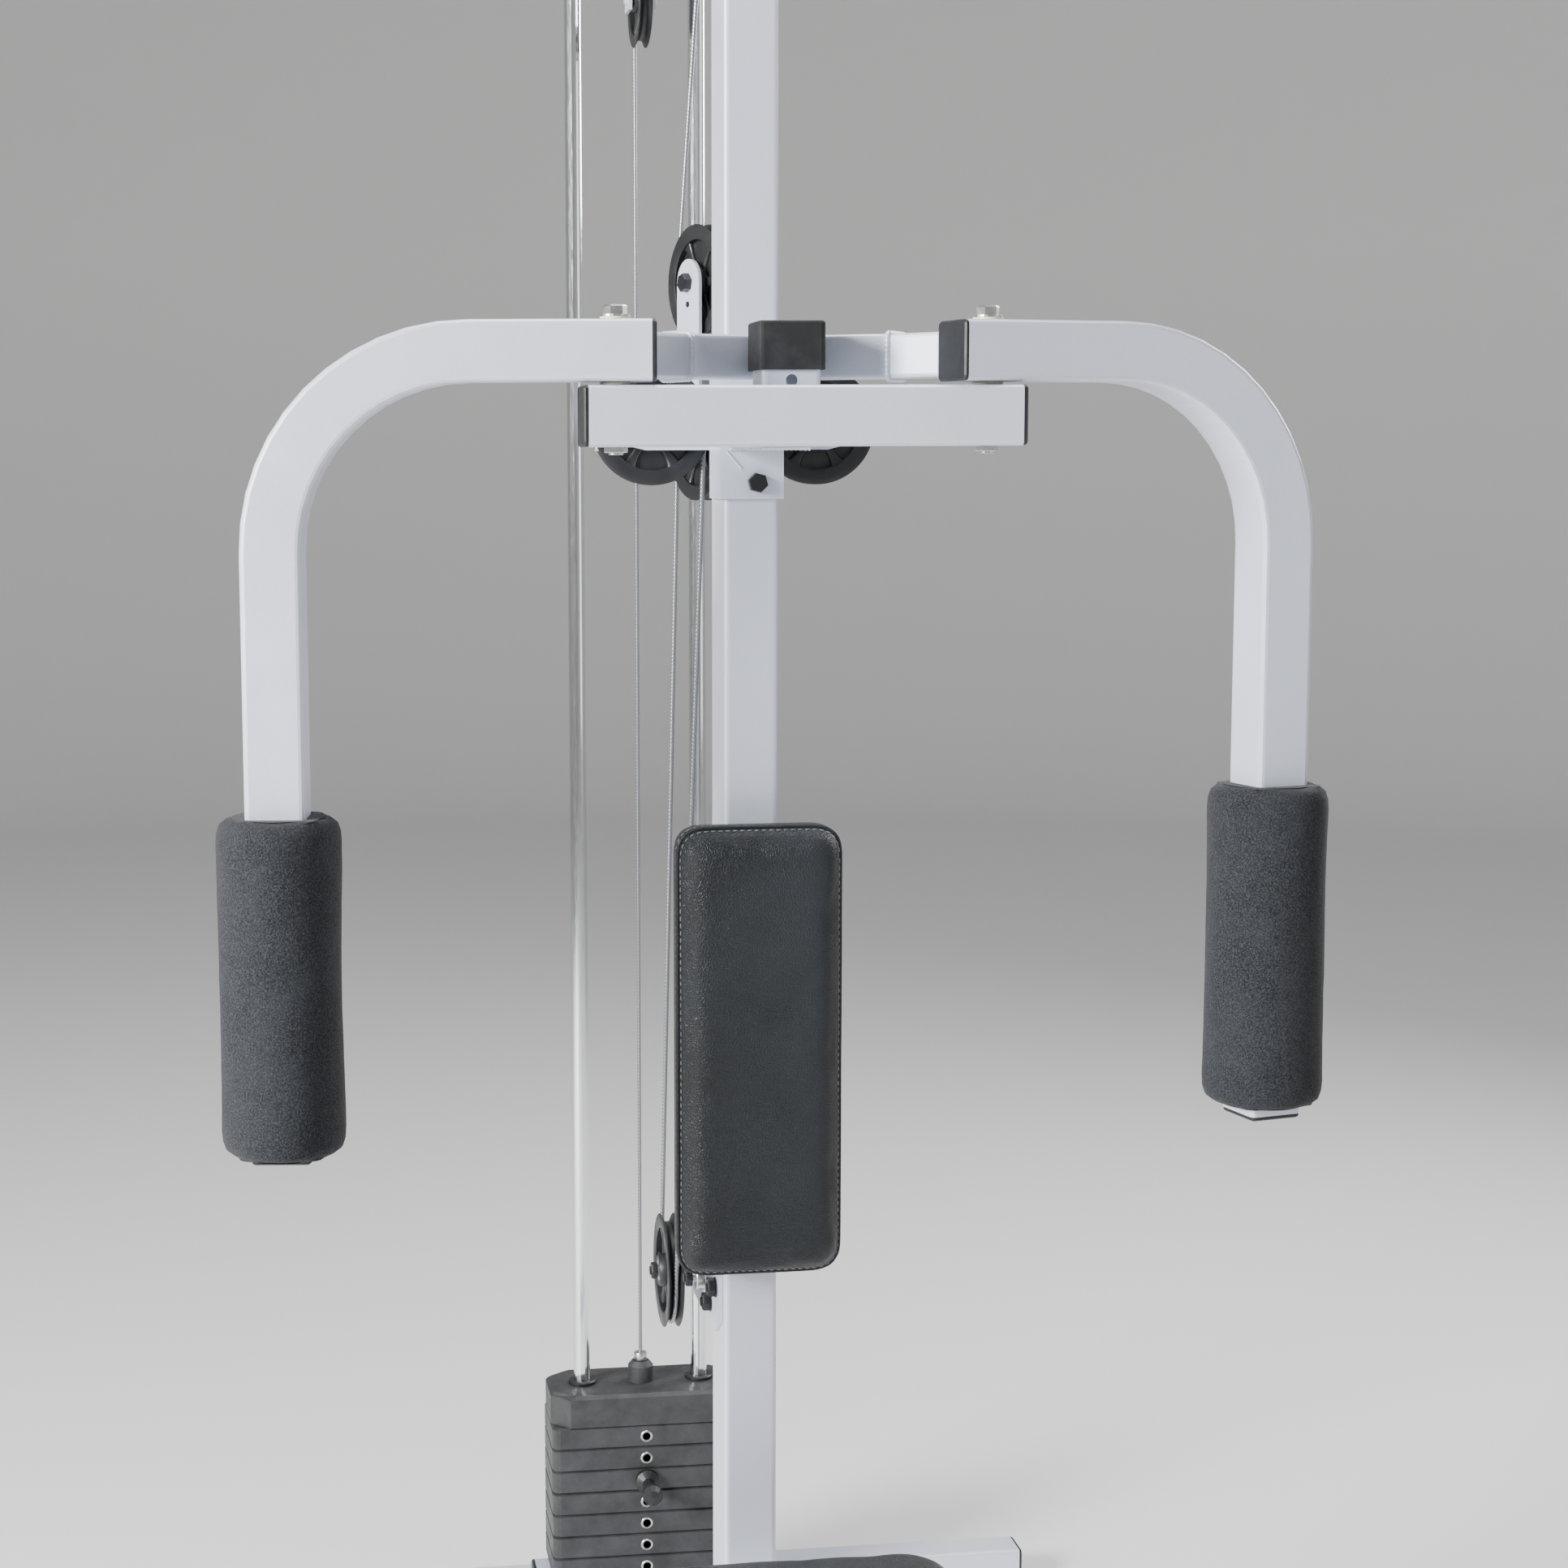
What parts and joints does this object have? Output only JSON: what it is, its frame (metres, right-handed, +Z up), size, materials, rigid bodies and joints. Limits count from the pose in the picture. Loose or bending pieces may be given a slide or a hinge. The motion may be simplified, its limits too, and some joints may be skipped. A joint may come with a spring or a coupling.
{
  "type": "pec fly cable machine",
  "caption": "Pec fly station of a cable gym: padded swinging arms on an upright frame, with seat, pulleys and a pin-selected weight stack.",
  "frame": {"origin": "on the floor under the middle of the machine", "axes": "+Z up, -Y the way the seated user faces, +X to the viewer's right when looking at the seat from the front"},
  "size_m": [1.04, 1.49, 2.16],
  "materials": {
    "painted_frame": "satin",
    "black_plastic": "matte",
    "black_rubber": "matte",
    "charcoal_foam": "matte",
    "charcoal_vinyl": "satin",
    "chrome": "polished",
    "zinc": "satin",
    "black_steel": "satin",
    "bronze_bush": "satin",
    "cast_iron": "matte",
    "board": "matte"
  },
  "bodies": {
    "root": {"front_foot_tube": "painted_frame", "rear_foot_tube": "painted_frame", "base_rail": "painted_frame", "upright": "painted_frame", "top_boom": "painted_frame", "saddle_bracket": "painted_frame", "saddle_bolt": "black_steel", "forward_beam": "painted_frame", "stop_post": "painted_frame", "bumper_cap": "black_rubber", "cross_tube": "painted_frame", "left_cross_plug": "black_plastic", "right_cross_plug": "black_plastic", "left_pivot_bolt": "zinc", "right_pivot_bolt": "zinc", "pulley_plate": "painted_frame", "left_pec_pulley_bolt": "black_steel", "right_pec_pulley_bolt": "black_steel", "left_guide_rod": "chrome", "right_guide_rod": "chrome", "stack_foot": "painted_frame", "rod_top_plate": "painted_frame", "front_boom_hanger": "painted_frame", "rear_boom_hanger": "painted_frame", "back_pad_board": "board", "back_pad": "charcoal_vinyl", "seat_post": "painted_frame", "seat_pad": "charcoal_vinyl", "low_bracket": "painted_frame", "lower_plates": "cast_iron", "stack_cable": "zinc", "pec_cable": "zinc"},
    "left_arm": {"left_arm_tube": "painted_frame", "left_arm_plug": "black_plastic", "left_leg_plug": "black_plastic", "left_foam_roller": "charcoal_foam", "left_lower_bushing": "bronze_bush", "left_upper_bushing": "bronze_bush", "left_lever": "painted_frame"},
    "right_arm": {"right_arm_tube": "painted_frame", "right_arm_plug": "black_plastic", "right_leg_plug": "black_plastic", "right_foam_roller": "charcoal_foam", "right_lower_bushing": "bronze_bush", "right_upper_bushing": "bronze_bush", "right_lever": "painted_frame"},
    "weight_stack": {"lifted_plates": "cast_iron", "stack_head": "cast_iron"},
    "pin": {"selector_pin": "black_plastic"},
    "floating_block": {"block_front_plate": "painted_frame", "block_rear_plate": "painted_frame", "block_upper_bolt": "black_steel", "block_lower_bolt": "black_steel"},
    "block_upper_pulley": {"block_upper_pulley": "black_plastic"},
    "block_lower_pulley": {"block_lower_pulley": "black_plastic"},
    "left_pec_pulley": {"left_pec_pulley": "black_plastic"},
    "right_pec_pulley": {"right_pec_pulley": "black_plastic"},
    "front_boom_pulley": {"front_boom_pulley": "black_plastic"},
    "rear_boom_pulley": {"rear_boom_pulley": "black_plastic"},
    "low_pulley": {"low_pulley": "black_plastic"}
  },
  "joints": [
    {"name": "stack_lift", "type": "slide", "parent": "root", "child": "weight_stack", "axis": [0, 0, 1], "range_m": [0, 0.45], "deforming": ["stack_cable", "pec_cable"]},
    {"name": "left_arm_swing", "type": "hinge", "parent": "root", "child": "left_arm", "pos_m": [-0.158, -0.4319, 1.563], "axis": [0, 0, 1], "range_deg": [0, 95]},
    {"name": "right_arm_swing", "type": "hinge", "parent": "root", "child": "right_arm", "pos_m": [0.158, -0.4319, 1.563], "axis": [0, 0, -1], "range_deg": [0, 95]},
    {"name": "block_slide", "type": "slide", "parent": "root", "child": "floating_block", "axis": [0, 0, -1], "range_m": [0, 0.226]},
    {"name": "selector_pin_pull", "type": "slide", "parent": "weight_stack", "child": "pin", "axis": [0, -1, 0], "range_m": [0, 0.07]},
    {"name": "block_upper_pulley_spin", "type": "hinge", "parent": "floating_block", "child": "block_upper_pulley", "pos_m": [-0.018, -0.005, 1.671], "axis": [-0.9455, -0.3256, 0], "range_deg": [0, 505]},
    {"name": "block_lower_pulley_spin", "type": "hinge", "parent": "floating_block", "child": "block_lower_pulley", "pos_m": [-0.018, -0.005, 1.515], "axis": [-0.9455, -0.3256, 0], "range_deg": [0, 505]},
    {"name": "left_pec_pulley_spin", "type": "hinge", "parent": "root", "child": "left_pec_pulley", "pos_m": [-0.08, -0.087, 1.531], "axis": [0, -1, 0], "range_deg": [0, 505]},
    {"name": "right_pec_pulley_spin", "type": "hinge", "parent": "root", "child": "right_pec_pulley", "pos_m": [0.08, -0.087, 1.531], "axis": [0, 1, 0], "range_deg": [0, 505]},
    {"name": "front_boom_pulley_spin", "type": "hinge", "parent": "root", "child": "front_boom_pulley", "pos_m": [-0.009, 0.0952, 2.0372], "axis": [1, 0, 0], "range_deg": [0, 505]},
    {"name": "rear_boom_pulley_spin", "type": "hinge", "parent": "root", "child": "rear_boom_pulley", "pos_m": [0, 0.5635, 2.0372], "axis": [1, 0, 0], "range_deg": [0, 505]},
    {"name": "low_pulley_spin", "type": "hinge", "parent": "root", "child": "low_pulley", "pos_m": [-0.058, -0.035, 0.682], "axis": [-1, 0, 0], "range_deg": [0, 505]}
  ],
  "couplings": [
    {"joint": "left_arm_swing", "follows": "stack_lift", "rad_per_m": 3.6844},
    {"joint": "right_arm_swing", "follows": "stack_lift", "rad_per_m": 3.6844},
    {"joint": "block_slide", "follows": "stack_lift", "ratio": 0.5},
    {"joint": "block_upper_pulley_spin", "follows": "stack_lift", "rad_per_m": 9.7087},
    {"joint": "block_lower_pulley_spin", "follows": "stack_lift", "rad_per_m": 9.7087},
    {"joint": "left_pec_pulley_spin", "follows": "stack_lift", "rad_per_m": 19.418},
    {"joint": "right_pec_pulley_spin", "follows": "stack_lift", "rad_per_m": 19.418},
    {"joint": "front_boom_pulley_spin", "follows": "stack_lift", "rad_per_m": 19.418},
    {"joint": "rear_boom_pulley_spin", "follows": "stack_lift", "rad_per_m": 19.418},
    {"joint": "low_pulley_spin", "follows": "stack_lift", "rad_per_m": 19.418}
  ]
}
